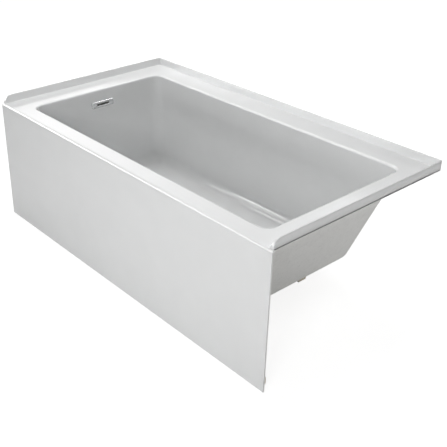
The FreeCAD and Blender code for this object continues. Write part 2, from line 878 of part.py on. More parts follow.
def main():
    os.makedirs("parts", exist_ok=True)
    for make in PIECES:
        shape = make()
        shape.exportStep(os.path.join("parts", make.__name__ + ".step"))
        print(make.__name__, len(shape.Solids), "solids", round(shape.Volume / 1000, 1), "cm3",
              "valid" if shape.isValid() else "NOT VALID")


main()
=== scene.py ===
"""Looks of a skirted alcove bathtub: glossy acrylic shell, chrome fittings and its timber cradle.

Metres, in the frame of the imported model: +X runs to the backrest end, +Y to the back wall, +Z up.
"""

import math

import bmesh
import bpy
from bpy.props import FloatProperty, FloatVectorProperty, IntProperty, PointerProperty
from mathutils import Matrix, Vector


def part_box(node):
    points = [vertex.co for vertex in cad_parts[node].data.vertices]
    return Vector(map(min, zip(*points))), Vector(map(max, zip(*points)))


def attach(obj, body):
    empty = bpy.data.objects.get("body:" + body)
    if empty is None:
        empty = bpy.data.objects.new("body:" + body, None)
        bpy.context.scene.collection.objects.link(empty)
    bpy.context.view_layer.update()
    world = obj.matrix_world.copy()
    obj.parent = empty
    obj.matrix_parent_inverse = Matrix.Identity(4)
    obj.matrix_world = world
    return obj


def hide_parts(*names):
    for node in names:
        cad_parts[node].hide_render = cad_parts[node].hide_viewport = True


bl_info = {
    "name": "Alcove bathtub looks",
    "version": (1, 0, 0),
    "blender": (4, 5, 0),
    "location": "3D View > Sidebar > Bathtub",
    "description": "Dresses the packed alcove bathtub with its visible surfaces and finishes",
    "category": "Object",
}

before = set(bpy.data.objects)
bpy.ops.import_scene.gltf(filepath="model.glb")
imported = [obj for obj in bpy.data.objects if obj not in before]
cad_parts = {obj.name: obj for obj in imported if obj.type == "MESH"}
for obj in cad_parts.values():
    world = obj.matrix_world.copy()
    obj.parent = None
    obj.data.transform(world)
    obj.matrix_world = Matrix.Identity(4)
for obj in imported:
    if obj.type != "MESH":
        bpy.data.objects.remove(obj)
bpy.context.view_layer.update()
SHELL_LOW, SHELL_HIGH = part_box("tub_shell")
STRAINER_LOW, STRAINER_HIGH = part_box("drain_strainer")
CAP_LOW, CAP_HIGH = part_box("stopper_cap")
MM = 0.001
QUARTER_TURN = math.pi / 2


# ---------------------------------------------------------------- sizes and colours
FLANGE_CORNER = 10 * MM         # rounding of the flange's back corners, seen from above
STUD_WIDTH = 60 * MM
# faces along the basin's long sides, its ends and its corners
FRONT_STEPS, END_STEPS, CORNER_STEPS = 26, 14, 12
# faces of the drain-end side behind and in front of the overflow's slot, which takes one itself
SLOT_BACK_STEPS = 5
SLOT_FRONT_STEPS = END_STEPS - 1 - SLOT_BACK_STEPS


class BathtubSizes(bpy.types.PropertyGroup):
    """Sizes of the visible surfaces. Whatever the frame already fixes is read from it."""

    deck_height: FloatProperty(
        name="Deck height", description="Floor to the flat deck", default=0.492, unit="LENGTH")
    skirt_flare: FloatProperty(
        name="Skirt flare", description="How far the skirt's foot stands out",
        default=0.012, unit="LENGTH")
    front_strip: FloatProperty(
        name="Front strip", description="Strip of deck as wide as the skirt",
        default=0.015, unit="LENGTH")
    edge_radius: FloatProperty(
        name="Edge radius", description="Rounding of skirt and rim edges",
        default=0.008, unit="LENGTH")
    front_deck: FloatProperty(
        name="Front deck", description="Width of the deck in front", default=0.073, unit="LENGTH")
    back_deck: FloatProperty(
        name="Back deck", description="Width of the deck at the back wall",
        default=0.106, unit="LENGTH")
    drain_end_deck: FloatProperty(
        name="Drain-end deck", description="Width of the deck over the waste",
        default=0.120, unit="LENGTH")
    backrest_deck: FloatProperty(
        name="Backrest deck", description="Width of the deck at the backrest",
        default=0.089, unit="LENGTH")
    flange_inset: FloatProperty(
        name="Flange inset", description="Flange's face in from the skirt's end",
        default=0.004, unit="LENGTH")
    flange_top: FloatProperty(
        name="Flange top", description="Thickness of the tile flange at its top",
        default=0.007, unit="LENGTH")
    flange_end_foot: FloatProperty(
        name="Flange foot, ends", description="Thickness of the end flanges at their foot",
        default=0.014, unit="LENGTH")
    flange_back_foot: FloatProperty(
        name="Flange foot, back", description="Thickness of the back flange at its foot",
        default=0.009, unit="LENGTH")
    basin_depth: FloatProperty(
        name="Basin depth", description="Deck to floor at the drain end",
        default=0.395, unit="LENGTH")
    collar: FloatProperty(
        name="Collar", description="Upright part of the walls under the deck",
        default=0.010, unit="LENGTH")
    foot_radius: FloatProperty(
        name="Foot radius", description="Rounding between walls and floor",
        default=0.045, unit="LENGTH")
    corner_radius: FloatProperty(
        name="Corner radius, top", description="Basin's corners at the rim",
        default=0.036, unit="LENGTH")
    corner_radius_low: FloatProperty(
        name="Corner radius, low", description="Basin's corners at its foot",
        default=0.058, unit="LENGTH")
    floor_fall: FloatProperty(
        name="Floor fall", description="Floor's drop towards the drain",
        default=0.008, unit="LENGTH")
    front_draft: FloatProperty(
        name="Front draft", description="How far the front wall comes in",
        default=0.024, unit="LENGTH")
    back_draft: FloatProperty(
        name="Back draft", description="How far the back wall comes in",
        default=0.024, unit="LENGTH")
    drain_draft: FloatProperty(
        name="Drain-end draft", description="How far the drain-end wall comes in",
        default=0.009, unit="LENGTH")
    backrest_run: FloatProperty(
        name="Backrest run", description="How far the backrest comes in",
        default=0.132, unit="LENGTH")
    acrylic: FloatProperty(
        name="Acrylic", description="Thickness of the acrylic sheet",
        default=0.0032, unit="LENGTH")
    laminate: FloatProperty(
        name="Laminate", description="Thickness of the fibreglass backing",
        default=0.0024, unit="LENGTH")
    dish_radius: FloatProperty(
        name="Drain dish", description="Radius of the flat seat round the drain",
        default=0.042, unit="LENGTH")
    dish_depth: FloatProperty(
        name="Dish depth", description="Depth of the drain's seat", default=0.0036, unit="LENGTH")
    drain_hole: FloatProperty(
        name="Drain hole", description="Radius of the hole for the strainer",
        default=0.0245, unit="LENGTH")
    wall_slot_width: FloatProperty(
        name="Wall slot width", description="Width of the overflow's slot in the wall",
        default=0.074, unit="LENGTH")
    wall_slot_height: FloatProperty(
        name="Wall slot height", description="Height of the overflow's slot in the wall",
        default=0.014, unit="LENGTH")
    overflow_depth: FloatProperty(
        name="Overflow depth", description="Deck down to the cover's centre",
        default=0.062, unit="LENGTH")
    arc_steps: IntProperty(
        name="Arc steps", description="Faces across each rounding", default=10, min=3, max=32)


class BathtubColours(bpy.types.PropertyGroup):
    """Base colours, as sRGB."""

    acrylic: FloatVectorProperty(
        name="Acrylic", description="Cast acrylic sheet",
        default=(0.927, 0.930, 0.930), subtype="COLOR_GAMMA")
    fibreglass: FloatVectorProperty(
        name="Fibreglass", description="Sprayed chopped strand and resin",
        default=(0.95, 0.95, 0.942), subtype="COLOR_GAMMA")


def tub():
    return bpy.context.scene.bathtub_sizes


# ---------------------------------------------------------------- colour and node helpers
def linear(colour):
    """Linear RGBA of an sRGB hex string such as "#F2F2F4", or of three sRGB values."""
    if isinstance(colour, str):
        colour = [int(colour[i:i + 2], 16) / 255 for i in (1, 3, 5)]
    channels = (c / 12.92 if c <= 0.04045 else ((c + 0.055) / 1.055) ** 2.4 for c in colour)
    return tuple(channels) + (1.0,)


def feed(tree, node, **inputs):
    """Sets a node's inputs, by name, or by number as i0; a node or a socket is linked."""
    for name, value in inputs.items():
        key = int(name[1:]) if name[0] == "i" and name[1:].isdigit() else name.replace("_", " ")
        socket = node.inputs[key]
        if isinstance(value, bpy.types.Node):
            value = value.outputs[0]
        if isinstance(value, bpy.types.NodeSocket):
            tree.links.new(value, socket)
        else:
            socket.default_value = value


def add(tree, kind, settings=None, stops=(), **inputs):
    """Adds a node with its settings, its ramp's (position, sRGB colour) stops and its inputs."""
    node = tree.nodes.new(kind)
    for name, value in (settings or {}).items():
        setattr(node, name, value)
    if stops:
        elements = node.color_ramp.elements
        elements[0].position, elements[-1].position = stops[0][0], stops[-1][0]
        elements[0].color, elements[-1].color = linear(stops[0][1]), linear(stops[-1][1])
        for position, colour in stops[1:-1]:
            elements.new(position).color = linear(colour)
    feed(tree, node, **inputs)
    return node


def new_material(name, **inputs):
    """A material, its tree, its shader with these inputs, and the object's coordinates."""
    made = bpy.data.materials.new(name)
    made.use_nodes = True
    tree = made.node_tree
    tree.nodes.clear()
    shader = add(tree, "ShaderNodeBsdfPrincipled", **inputs)
    add(tree, "ShaderNodeOutputMaterial", Surface=shader)
    return made, tree, shader, add(tree, "ShaderNodeTexCoord").outputs["Object"]


def dress(tree, shader, pattern, stops, relief, strength, depth):
    """Colours a shader by a pattern, between stops, and bumps it by the height of relief."""
    colour = add(tree, "ShaderNodeValToRGB", stops=stops, Fac=pattern)
    bump = add(tree, "ShaderNodeBump", Height=relief, Strength=strength, Distance=depth)
    feed(tree, shader, Base_Color=colour, Normal=bump)


# ---------------------------------------------------------------- materials
def cast_acrylic():
    """Vacuum-formed cast acrylic: white, glossy, with a very faint ripple from the mould."""
    made, tree, shader, place = new_material("cast_acrylic_white", Roughness=0.12, IOR=1.49)
    light = tuple(bpy.context.scene.bathtub_colours.acrylic)
    dark = tuple(channel * 0.992 for channel in light)
    wave = 90 * MM              # the sheet's slow waves, where it was drawn down into the mould
    ripple = add(tree, "ShaderNodeTexNoise", Vector=place, Scale=1 / wave, Detail=1.5)
    dress(tree, shader, ripple, [(0.3, dark), (0.7, light)], ripple, 0.08, 0.4 * MM)
    return made


def sprayed_fibreglass():
    """Chopped strands rolled into polyester resin: pale, matt, with strands lying every way."""
    made, tree, shader, place = new_material("sprayed_fibreglass", Roughness=0.62, IOR=1.55)
    light = tuple(bpy.context.scene.bathtub_colours.fibreglass)
    dark = tuple(channel * 0.955 for channel in light)
    strand, bend = 7 * MM, 60 * MM      # strands drawn about twice as wide, so that they show
    warp = add(tree, "ShaderNodeTexNoise", Vector=place, Scale=1 / (40 * MM), Detail=2.0)
    bent = add(tree, "ShaderNodeVectorMath", {"operation": "MULTIPLY_ADD"},
               i0=warp.outputs["Color"], i1=(bend, bend, bend), i2=place)
    strands = add(tree, "ShaderNodeTexVoronoi", {"feature": "DISTANCE_TO_EDGE"}, Vector=bent,
                  Scale=1 / strand)
    resin = add(tree, "ShaderNodeTexNoise", Vector=place, Scale=1 / (18 * MM), Detail=5.0,
                Roughness=0.65)
    mixed = add(tree, "ShaderNodeMath", {"operation": "MULTIPLY_ADD"}, i0=strands, i1=1.6,
                i2=resin)
    dress(tree, shader, mixed, [(0.35, dark), (0.75, light)], mixed, 0.6, 1.2 * MM)
    return made


def chromed_brass():
    """Bright nickel-chrome plate on polished brass, under a faint haze."""
    made, tree, shader, place = new_material("chromed_brass", Base_Color=linear("#DCDDDE"),
                                             Metallic=1.0)
    haze = add(tree, "ShaderNodeTexNoise", Vector=place, Scale=1 / (6 * MM), Detail=3.0)
    rough = add(tree, "ShaderNodeMapRange", Value=haze, To_Min=0.06, To_Max=0.13)
    feed(tree, shader, Roughness=rough)
    return made


def zinc_plated_steel():
    """Rolled steel strip with a thin bright zinc plate: faint rolling lines and cloudy patches."""
    made, tree, shader, place = new_material("zinc_plated_steel", Metallic=1.0, Roughness=0.34)
    rolled = add(tree, "ShaderNodeMapping", Vector=place, Scale=(0.12, 1.0, 1.0))
    lines = add(tree, "ShaderNodeTexNoise", Vector=rolled, Scale=1 / (0.8 * MM), Detail=2.0)
    cloud = add(tree, "ShaderNodeTexNoise", Vector=place, Scale=1 / (12 * MM), Detail=3.0)
    dress(tree, shader, cloud, [(0.3, "#B4B8BC"), (0.7, "#CDD0D3")], lines, 0.15, 0.1 * MM)
    return made


def turned_brass():
    """Lathe-turned brass: fine rings round its axis."""
    made, tree, shader, place = new_material("turned_brass", Base_Color=linear("#C7A45C"),
                                             Metallic=1.0, Roughness=0.28)
    rings = add(tree, "ShaderNodeTexWave", {"bands_direction": "Z"}, Vector=place,
                Scale=1 / (2.5 * MM), Distortion=0.2)
    turned = add(tree, "ShaderNodeBump", Height=rings.outputs["Fac"], Strength=0.12,
                 Distance=0.05 * MM)
    feed(tree, shader, Normal=turned)
    return made


def coated_softwood(name, along):
    """Sawn softwood under a pale coat of resin: long rings about 6 mm apart, along one axis."""
    made, tree, shader, place = new_material(name, Roughness=0.75)
    stretch = [1.0, 1.0, 1.0]
    stretch[along] = 0.06
    bend = 30 * MM
    grain = add(tree, "ShaderNodeMapping", Vector=place, Scale=stretch)
    warp = add(tree, "ShaderNodeTexNoise", Vector=grain, Scale=1 / (45 * MM), Detail=2.0)
    bent = add(tree, "ShaderNodeVectorMath", {"operation": "MULTIPLY_ADD"},
               i0=warp.outputs["Color"], i1=(bend, bend, bend), i2=grain)
    rings = add(tree, "ShaderNodeTexWave",
                {"wave_type": "RINGS", "rings_direction": "XYZ"[along]}, Vector=bent,
                Scale=1 / (20 * MM), Distortion=1.5, Detail=2.0)
    fibre = add(tree, "ShaderNodeTexNoise", Vector=grain, Scale=1 / (2 * MM), Detail=4.0)
    mixed = add(tree, "ShaderNodeMath", {"operation": "MULTIPLY_ADD"}, i0=fibre, i1=0.45,
                i2=rings.outputs["Fac"])
    dress(tree, shader, mixed, [(0.25, "#CFC5AF"), (1.0, "#EAE4D6")], mixed, 0.35, 0.3 * MM)
    return made


def strand_board():
    """Pressed board of wood flakes some 30 mm long, waxed."""
    made, tree, shader, place = new_material("strand_board", Roughness=0.7)
    pressed = add(tree, "ShaderNodeMapping", Vector=place, Rotation=(0, 0, 0.5),
                  Scale=(0.35, 1.0, 1.0))
    flakes = add(tree, "ShaderNodeTexVoronoi", Vector=pressed, Scale=1 / (14 * MM))
    fibre = add(tree, "ShaderNodeTexNoise", Vector=pressed, Scale=1 / (2 * MM), Detail=3.0)
    tone = add(tree, "ShaderNodeSeparateColor", Color=flakes.outputs["Color"])
    mixed = add(tree, "ShaderNodeMath", {"operation": "MULTIPLY_ADD"}, i0=fibre, i1=0.3, i2=tone)
    dress(tree, shader, mixed, [(0.1, "#9C7A4A"), (0.7, "#C9A870"), (1.0, "#DDC596")], mixed, 0.3,
          0.3 * MM)
    return made


def moulded_rubber():
    """Moulded black rubber with a fine matt bloom."""
    made, tree, shader, place = new_material("moulded_rubber", Roughness=0.7)
    bloom = add(tree, "ShaderNodeTexNoise", Vector=place, Scale=1 / (3 * MM), Detail=3.0)
    dress(tree, shader, bloom, [(0.3, "#1C1C1D"), (0.7, "#2A2A2B")], bloom, 0.2, 0.1 * MM)
    return made


def moulded_pvc(name, light, dark, roughness):
    """Injection-moulded PVC: white, satin, slightly cloudy."""
    made, tree, shader, place = new_material(name, Roughness=roughness, IOR=1.53)
    cloud = add(tree, "ShaderNodeTexNoise", Vector=place, Scale=1 / (25 * MM), Detail=2.0)
    skin = add(tree, "ShaderNodeTexNoise", Vector=place, Scale=1 / (1.5 * MM), Detail=2.0)
    dress(tree, shader, cloud, [(0.3, dark), (0.7, light)], skin, 0.08, 0.05 * MM)
    return made


FINISHES = {
    "acrylic": cast_acrylic,
    "fibreglass": sprayed_fibreglass,
    "chrome": chromed_brass,
    "zinc_steel": zinc_plated_steel,
    "brass": turned_brass,
    "rubber": moulded_rubber,
    "board": strand_board,
    "coated_long": lambda: coated_softwood("resin_coated_softwood_long", 0),
    "coated_across": lambda: coated_softwood("resin_coated_softwood_across", 1),
    "coated_upright": lambda: coated_softwood("resin_coated_softwood_upright", 2),
    "pipe": lambda: moulded_pvc("moulded_pvc_pipe", "#F0F0EC", "#E6E6E2", 0.38),
    "nut": lambda: moulded_pvc("moulded_nut_plastic", "#E4E4E0", "#DADAD6", 0.45),
}
MADE = {}


def material(name):
    """The finish of that name, made at its first use."""
    if name not in MADE:
        MADE[name] = FINISHES[name]()
    return MADE[name]


# ---------------------------------------------------------------- mesh helpers
def new_object(name, builder):
    """Object of a bmesh, smooth all over, in the scene."""
    mesh = bpy.data.meshes.new(name)
    builder.to_mesh(mesh)
    builder.free()
    mesh.polygons.foreach_set("use_smooth", [True] * len(mesh.polygons))
    item = bpy.data.objects.new(name, mesh)
    bpy.context.scene.collection.objects.link(item)
    return item


def bake_modifiers(piece):
    """Puts what an object's modifiers make in place of its mesh, and takes them off."""
    evaluated = piece.evaluated_get(bpy.context.evaluated_depsgraph_get())
    mesh = bpy.data.meshes.new_from_object(evaluated)
    piece.modifiers.clear()
    piece.data = mesh


def thicken(piece, thickness):
    """Gives an open sheet its thickness on the side away from its normals, its cut edges crisp."""
    modifier = piece.modifiers.new("Sheet", "SOLIDIFY")
    modifier.thickness = thickness
    modifier.offset = -1.0
    modifier.use_even_offset = False
    modifier.use_quality_normals = True
    bake_modifiers(piece)
    piece.data.set_sharp_from_angle(angle=math.radians(50))
    for vertex in piece.data.vertices:      # the skirt's foot is trimmed level with the floor
        if vertex.co.z < 0.5 * MM:
            vertex.co.z = 0.0


def finish_piece(name, builder, slot, replaced=(), body="tub", thickness=0.0):
    """Makes a piece in the finish of its slot, thickens an open sheet, and gives it its body."""
    piece = new_object(name, builder)
    piece.data.materials.append(material(slot))
    if thickness:
        thicken(piece, thickness)
    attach(piece, body)
    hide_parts(*replaced)
    weights = piece.modifiers.new("Face weighted", "WEIGHTED_NORMAL")
    weights.keep_sharp = True
    weights.weight = 100


def grid_faces(builder, rows, closed, skip=()):
    """Faces between rows of vertices; closed joins each row's end to its start."""
    span = len(rows[0]) if closed else len(rows[0]) - 1
    for level, (upper, lower) in enumerate(zip(rows, rows[1:])):
        for index in range(span):
            if (level, index) in skip:
                continue
            after = (index + 1) % len(upper)
            corners = dict.fromkeys((upper[index], upper[after], lower[after], lower[index]))
            if len(corners) > 2:
                builder.faces.new(list(corners))


def spread(start, end, count):
    """count + 1 even values from start to end."""
    return [start + (end - start) * step / count for step in range(count + 1)]


def turn_values(start, end, count):
    """(cosine, sine) of count + 1 even angles."""
    return [(math.cos(a), math.sin(a)) for a in spread(start, end, count)]


def row_tree():
    """Tree that adds Count copies of Piece, turned by Turn, and gives all of it Finish."""
    tree = bpy.data.node_groups.new("row_of_pieces", "GeometryNodeTree")
    kinds = {"Geometry": "Geometry", "Piece": "Object", "Count": "Int", "Start": "Vector",
             "Step": "Vector", "Turn": "Vector", "Finish": "Material"}
    for name, kind in kinds.items():
        tree.interface.new_socket(name, in_out="INPUT", socket_type="NodeSocket" + kind)
    tree.interface.new_socket("Geometry", in_out="OUTPUT", socket_type="NodeSocketGeometry")
    given = tree.nodes.new("NodeGroupInput").outputs
    points = add(tree, "GeometryNodeMeshLine", {"mode": "OFFSET"}, Count=given["Count"],
                 Start_Location=given["Start"], Offset=given["Step"])
    pattern = add(tree, "GeometryNodeObjectInfo", Object=given["Piece"]).outputs["Geometry"]
    row = add(tree, "GeometryNodeInstanceOnPoints", Points=points, Instance=pattern,
              Rotation=given["Turn"])
    joined = add(tree, "GeometryNodeJoinGeometry", Geometry=given["Geometry"])
    tree.links.new(row.outputs[0], joined.inputs[0])
    plain = add(tree, "GeometryNodeRealizeInstances", Geometry=joined)
    dressed = add(tree, "GeometryNodeSetMaterial", Geometry=plain, Material=given["Finish"])
    add(tree, "NodeGroupOutput", Geometry=dressed)
    return tree


def make_rows(name, builder, finish, rows, replaced):
    """One object of rows of one piece; each row is its count, start, step and turn."""
    pattern = new_object(name + "_pattern", builder)
    pattern.data.set_sharp_from_angle(angle=math.radians(35))
    piece = new_object(name, bmesh.new())
    tree = row_tree()
    sockets = {item.name: item.identifier for item in tree.interface.items_tree
               if item.in_out == "INPUT"}
    for count, start, step, turn in rows:
        modifier = piece.modifiers.new("Row", "NODES")
        modifier.node_group = tree
        values = {"Piece": pattern, "Count": count, "Start": start, "Step": step, "Turn": turn,
                  "Finish": material(finish)}
        for key, value in values.items():
            modifier[sockets[key]] = value
    bake_modifiers(piece)
    bpy.data.objects.remove(pattern)
    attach(piece, "tub")
    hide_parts(replaced)


# ---------------------------------------------------------------- acrylic shell
def floor_left():
    """X at the foot of the drain-end wall, where the floor begins."""
    size = tub()
    return (SHELL_LOW[0] + size.flange_inset + size.drain_end_deck + size.drain_draft
            + size.foot_radius)


def floor_rise(x):
    """How far the floor at x lies over the floor at the foot of the drain-end wall."""
    size = tub()
    right = (SHELL_HIGH[0] - size.flange_inset - size.backrest_deck - size.backrest_run
             - size.foot_radius)
    slope = size.floor_fall / (right - floor_left())
    return (x - floor_left()) * slope


def drain_centre():
    return Vector(((STRAINER_LOW[0] + STRAINER_HIGH[0]) / 2, 0.0, 0.0))


def wall_profile(draft):
    """(inset, height, corner radius) of a basin wall, from the deck over the rim to the floor."""
    size = tub()
    rim, bend = size.edge_radius, size.foot_radius
    corner, low_corner = size.corner_radius, size.corner_radius_low
    margin = 2 * MM             # flat strip of deck beside the rim
    floor_corner = 12 * MM      # what is left of the corner's radius at the flat floor
    floor = size.deck_height - size.basin_depth
    collar = size.deck_height - size.collar
    lean = math.atan2(draft, size.basin_depth - size.collar - bend)
    points = [(-rim - margin, size.deck_height, corner + rim + margin)]
    for cos, sin in turn_values(0, QUARTER_TURN, size.arc_steps):
        inset = -rim + rim * sin
        points.append((inset, size.deck_height - rim + rim * cos, corner - inset))
    for cos, sin in turn_values(0, lean, 2):
        points.append((bend - bend * cos, collar - bend * sin, corner))
    top = points[-1]
    foot = (draft + bend - bend * math.cos(lean), floor + bend - bend * math.sin(lean))
    for share in wall_shares():
        points.append((top[0] + (foot[0] - top[0]) * share, top[1] + (foot[1] - top[1]) * share,
                       corner + (low_corner - corner) * share))
    for cos, sin in turn_values(lean, QUARTER_TURN, size.arc_steps)[1:]:
        points.append((draft + bend - bend * cos, floor + bend - bend * sin,
                       low_corner - (1 - cos) * (low_corner - floor_corner)))
    points.append((draft + bend + 3 * MM, floor, points[-1][2]))
    return points


def wall_shares():
    """Shares of the way down a wall, with two lines at the overflow slot's edges."""
    size = tub()
    top = size.deck_height - size.collar
    fall = size.basin_depth - size.collar - size.foot_radius
    middle = size.deck_height - size.overflow_depth
    half = size.wall_slot_height / 2
    edges = [(top - middle - half) / fall, (top - middle + half) / fall]
    above, below = 0.06, 0.25       # the nearest lines over and under the slot
    return [above] + edges + spread(below, 1.0, 6)


def slot_side(back, front):
    """Places along the drain-end side, two of them at the overflow slot's ends."""
    half = tub().wall_slot_width / 2
    return spread(back, half, SLOT_BACK_STEPS) + spread(-half, front, SLOT_FRONT_STEPS)


def basin_ring(x0, x1, y0, y1, radius, heights):
    """One level of the basin; x0 is the drain end, and each side has its own height."""
    sides = (
        ("front", x1, y0, [(x, y0) for x in spread(x0 + radius, x1 - radius, FRONT_STEPS)]),
        ("right", x1, y1, [(x1, y) for y in spread(y0 + radius, y1 - radius, END_STEPS)]),
        ("back", x0, y1, [(x, y1) for x in spread(x1 - radius, x0 + radius, FRONT_STEPS)]),
        ("left", x0, y0, [(x0, y) for y in slot_side(y1 - radius, y0 + radius)]),
    )
    ring = []
    for turn, (side, corner_x, corner_y, straight) in enumerate(sides):
        height, next_height = heights[side], heights[sides[(turn + 1) % 4][0]]
        ring += [(x, y, height) for x, y in straight]
        middle_x = corner_x - radius if corner_x == x1 else corner_x + radius
        middle_y = corner_y - radius if corner_y == y1 else corner_y + radius
        start = (turn - 1) * QUARTER_TURN
        arc = turn_values(start, start + QUARTER_TURN, CORNER_STEPS)
        for step in range(1, CORNER_STEPS):
            cos, sin = arc[step]
            share = step / CORNER_STEPS
            ring.append((middle_x + radius * cos, middle_y + radius * sin,
                         height * (1 - share) + next_height * share))
    return ring


def tilted(points):
    """Points of the basin with the floor's fall added, fully at the floor and none at the deck."""
    size = tub()
    top = size.deck_height - size.collar
    fall = size.basin_depth - size.collar
    result = []
    for x, y, z in points:
        share = min(max((top - z) / fall, 0.0), 1.0)
        result.append(Vector((x, y, z + floor_rise(x) * share)))
    return result


def deck_border(ring_length):
    """Deck's outline under the flange, with as many points as a ring of the basin."""
    size = tub()
    x1 = SHELL_HIGH[0] - size.flange_inset
    y0 = skirt_front(size.deck_height) + size.front_strip
    y1 = SHELL_HIGH[1]
    radius = FLANGE_CORNER
    edge = SHELL_HIGH[0] - size.edge_radius
    half = CORNER_STEPS // 2
    arc = turn_values(0, QUARTER_TURN, CORNER_STEPS)[1:-1]
    border = [(x, y0) for x in spread(-edge, edge, FRONT_STEPS)]
    border += [(x, y0) for x in spread(edge, x1, half)[1:]]
    border += [(x1, y) for y in spread(y0, y0 + radius, half)[1:-1]]
    border += [(x1, y) for y in spread(y0 + radius, y1 - radius, END_STEPS)]
    border += [(x1 - radius + radius * cos, y1 - radius + radius * sin) for cos, sin in arc]
    border += [(x, y1) for x in spread(x1 - radius, -x1 + radius, FRONT_STEPS)]
    border += [(-x1 + radius - radius * sin, y1 - radius + radius * cos) for cos, sin in arc]
    border += [(-x1, y) for y in slot_side(y1 - radius, y0 + radius)]
    border += [(-x1, y) for y in spread(y0 + radius, y0, half)[1:]]
    border += [(-x, y0) for x in spread(x1, edge, half)[1:-1]]
    assert len(border) == ring_length, (len(border), ring_length)
    return [Vector((x, y, size.deck_height)) for x, y in border]


def skirt_front(z):
    """Y of the skirt's face at height z."""
    size = tub()
    return SHELL_LOW[1] + size.skirt_flare * z / size.deck_height


def skirt_xs():
    """Places along the skirt that meet the points of the deck's border behind it."""
    size = tub()
    half = CORNER_STEPS // 2
    side = SHELL_HIGH[0]
    face, edge = side - size.flange_inset, side - size.edge_radius
    left = [-side] + spread(-face, -edge, half)
    right = spread(edge, face, half) + [side]
    return left + spread(-edge, edge, FRONT_STEPS)[1:-1] + right


def skirt_rows():
    """Lines along the skirt, from its foot up to the back of its rounded edge."""
    size = tub()
    radius = size.edge_radius
    top = size.deck_height - radius
    line = [(skirt_front(z), z) for z in spread(0.0, top, 5)]
    front = skirt_front(top)
    line += [(front + radius * (1 - cos), top + radius * sin)
             for cos, sin in turn_values(0, QUARTER_TURN, size.arc_steps)[1:]]
    line.append((skirt_front(size.deck_height) + size.front_strip, size.deck_height))
    return [[Vector((x, y, z)) for x in skirt_xs()] for y, z in line]


def drain_ring(floor_ring, radius, drop):
    """Circle round the drain whose points face those of the floor's outline."""
    size = tub()
    centre = drain_centre()
    floor = size.deck_height - size.basin_depth
    seat = floor + floor_rise(centre.x) - drop
    points = []
    for point in floor_ring:
        angle = math.atan2(point.y, point.x - centre.x)
        x, y = centre.x + radius * math.cos(angle), radius * math.sin(angle)
        points.append(Vector((x, y, seat if drop else floor + floor_rise(x))))
    return points


def basin_rings():
    """Closed lines of points from the deck's border down the walls to the drain's hole."""
    size = tub()
    drafts = {"front": size.front_draft, "right": size.backrest_run, "back": size.back_draft,
              "left": size.drain_draft}
    profiles = {side: wall_profile(draft) for side, draft in drafts.items()}
    face = SHELL_HIGH[0] - size.flange_inset
    x0, x1 = -face + size.drain_end_deck, face - size.backrest_deck
    y0 = skirt_front(size.deck_height) + size.front_deck
    y1 = SHELL_HIGH[1] - size.back_deck
    rings = []
    for level in range(len(profiles["front"])):
        inset, height, radius = ({side: profile[level][item] for side, profile in profiles.items()}
                                 for item in range(3))
        ring = basin_ring(x0 + inset["left"], x1 - inset["right"], y0 + inset["front"],
                          y1 - inset["back"], radius["front"], height)
        rings.append(tilted(ring))
    rings.insert(0, deck_border(len(rings[0])))
    floor_ring = rings[-1]
    seat, deep = size.dish_radius, size.dish_depth
    slope_start = seat + 8 * MM     # where the floor begins to dip to the drain's seat
    for radius, drop in ((slope_start + 3 * MM, 0.0), (slope_start, 0.0), (seat + 1 * MM, deep),
                         (seat - 3 * MM, deep), (size.drain_hole, deep)):
        rings.append(drain_ring(floor_ring, radius, drop))
    return rings


def sheet_surface():
    """The one formed sheet, as an open surface: skirt, deck, rim, basin and drain seat."""
    size = tub()
    builder = bmesh.new()
    rings = basin_rings()
    rows = [[builder.verts.new(point) for point in ring] for ring in rings]
    grid_faces(builder, rows, True, skip={overflow_slot(rings)})
    skirt = [[builder.verts.new(point) for point in row] for row in skirt_rows()]
    grid_faces(builder, skirt, False)
    bmesh.ops.remove_doubles(builder, verts=builder.verts, dist=0.02 * MM)
    bmesh.ops.recalc_face_normals(builder, faces=builder.faces)
    deck = [f for f in builder.faces if f.calc_center_median().z > size.deck_height - 2 * MM]
    top = max(deck, key=lambda f: abs(f.normal.z) * f.calc_area())
    if top.normal.z < 0:
        bmesh.ops.reverse_faces(builder, faces=builder.faces)
    return builder


def overflow_slot(rings):
    """(ring, point) of the one face left out of the drain-end wall, for the overflow's slot."""
    size = tub()
    sides_before = (FRONT_STEPS + 1) * 2 + (END_STEPS + 1) + 3 * (CORNER_STEPS - 1)
    column = sides_before + SLOT_BACK_STEPS
    top = size.deck_height - size.overflow_depth + size.wall_slot_height / 2
    return min(range(len(rings)), key=lambda level: abs(rings[level][column].z - top)), column


class TUB_OT_acrylic_shell(bpy.types.Operator):
    """Formed acrylic sheet: skirt, deck, rim, basin with its sloped backrest, drain seat"""

    bl_idname = "bathtub.acrylic_shell"
    bl_label = "Acrylic shell"

    def execute(self, context):
        finish_piece("acrylic_shell", sheet_surface(), "acrylic", replaced=["tub_shell"],
                     thickness=tub().acrylic)
        return {"FINISHED"}


class TUB_OT_fibreglass(bpy.types.Operator):
    """Sprayed backing that follows the back of the acrylic sheet"""

    bl_idname = "bathtub.fibreglass"
    bl_label = "Fibreglass backing"

    def execute(self, context):
        builder = sheet_surface()
        builder.normal_update()
        for vertex in list(builder.verts):
            vertex.co -= vertex.normal * tub().acrylic
        finish_piece("sprayed_backing", builder, "fibreglass", replaced=["fibreglass_backing"],
                     thickness=tub().laminate)
        return {"FINISHED"}


